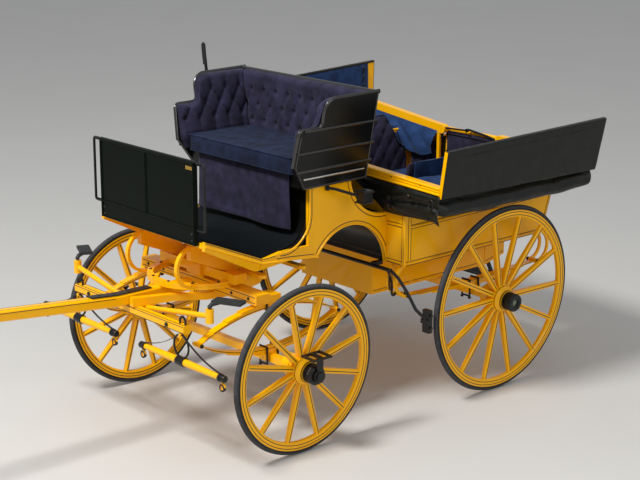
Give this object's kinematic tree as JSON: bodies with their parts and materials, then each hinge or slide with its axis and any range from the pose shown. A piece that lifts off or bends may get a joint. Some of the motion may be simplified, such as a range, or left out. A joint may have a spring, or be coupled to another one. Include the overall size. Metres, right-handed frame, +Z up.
{
  "type": "horse-drawn wagonette carriage",
  "caption": "Pair-horse wagonette: box seat in front, rear body with facing benches, folding two-part hood, rear door, full-lock fore-carriage and long pole.",
  "frame": {"origin": "on the ground, in the middle of the carriage's length with its pole and of its width", "axes": "+X the carriage's left, -Y the way it travels (the pole), +Z up"},
  "size_m": [1.9333, 5.39, 1.9594],
  "materials": {
    "yellow_paint": "hard gloss coach paint with fine black lining",
    "black_paint": "black gloss coach paint",
    "black_iron": "black enamelled wrought iron",
    "navy_cloth": "navy wool cloth, buttoned",
    "blue_cloth": "faded blue wool cloth",
    "hood_leather": "black enamelled hood leather",
    "tyre": "solid rubber carriage tyre"
  },
  "bodies": {
    "carriage": {"footboard": "yellow_paint", "dashboard": "black_paint", "boot_panels": "yellow_paint", "boot_shell": "black_paint", "driver_seat": "black_paint", "driver_cushion": "navy_cloth", "driver_backrest": "navy_cloth", "seat_fall": "navy_cloth", "front_wall": "yellow_paint", "side_panel_left": "yellow_paint", "side_panel_right": "yellow_paint", "rear_panels": "yellow_paint", "passenger_well": "yellow_paint", "bench_cushion_left": "blue_cloth", "bench_cushion_right": "blue_cloth", "bench_back_left": "navy_cloth", "bench_back_right": "navy_cloth", "folded_leather_left": "hood_leather", "folded_leather_right": "hood_leather", "body_irons": "yellow_paint", "rear_axle": "yellow_paint", "rear_springs": "yellow_paint", "scroll_irons": "yellow_paint", "brake_gear": "black_iron", "lamp_brackets": "black_iron", "rear_step": "black_iron"},
    "fore_carriage": {"front_axle": "yellow_paint", "front_springs": "yellow_paint", "lower_bed": "yellow_paint", "futchells": "yellow_paint", "splinter_bar": "yellow_paint", "tread_steps": "black_iron", "pole": "yellow_paint", "pole_head": "black_iron", "swingletrees": "yellow_paint", "hub_steps": "black_iron"},
    "front_left_wheel": {"wheel_front_left": "yellow_paint", "tyre_front_left": "tyre", "hub_cap_front_left": "black_iron"},
    "front_right_wheel": {"wheel_front_right": "yellow_paint", "tyre_front_right": "tyre", "hub_cap_front_right": "black_iron"},
    "rear_left_wheel": {"wheel_rear_left": "yellow_paint", "tyre_rear_left": "tyre", "hub_cap_rear_left": "black_iron"},
    "rear_right_wheel": {"wheel_rear_right": "yellow_paint", "tyre_rear_right": "tyre", "hub_cap_rear_right": "black_iron"},
    "rear_door": {"rear_door": "yellow_paint"},
    "hood_left": {"hood_left": "yellow_paint"},
    "hood_right": {"hood_right": "yellow_paint"}
  },
  "joints": [
    {"name": "steering", "type": "hinge", "parent": "carriage", "child": "fore_carriage", "pos_m": [0, 0.405, 0.8], "axis": [0, 0, 1], "range_deg": [-42, 42]},
    {"name": "front_left_wheel_spin", "type": "hinge", "parent": "fore_carriage", "child": "front_left_wheel", "pos_m": [0.741, 0.505, 0.45654], "axis": [0.999, 0, -0.0454], "continuous": true},
    {"name": "front_right_wheel_spin", "type": "hinge", "parent": "fore_carriage", "child": "front_right_wheel", "pos_m": [-0.741, 0.505, 0.45654], "axis": [0.999, 0, 0.0454], "continuous": true},
    {"name": "rear_left_wheel_spin", "type": "hinge", "parent": "carriage", "child": "rear_left_wheel", "pos_m": [0.764, 1.972, 0.54645], "axis": [0.999, 0, -0.0454], "continuous": true},
    {"name": "rear_right_wheel_spin", "type": "hinge", "parent": "carriage", "child": "rear_right_wheel", "pos_m": [-0.764, 1.972, 0.54645], "axis": [0.999, 0, 0.0454], "continuous": true},
    {"name": "door_hinge", "type": "hinge", "parent": "carriage", "child": "rear_door", "pos_m": [0.243, 2.571, 0.97], "axis": [0, 0, -1], "range_deg": [0, 100]},
    {"name": "hood_left_hinge", "type": "hinge", "parent": "carriage", "child": "hood_left", "pos_m": [0.24, 1.945, 1.314], "axis": [0, -1, 0], "range_deg": [0, 90]},
    {"name": "hood_right_hinge", "type": "hinge", "parent": "carriage", "child": "hood_right", "pos_m": [-0.24, 1.945, 1.314], "axis": [0, 1, 0], "range_deg": [0, 81]}
  ]
}
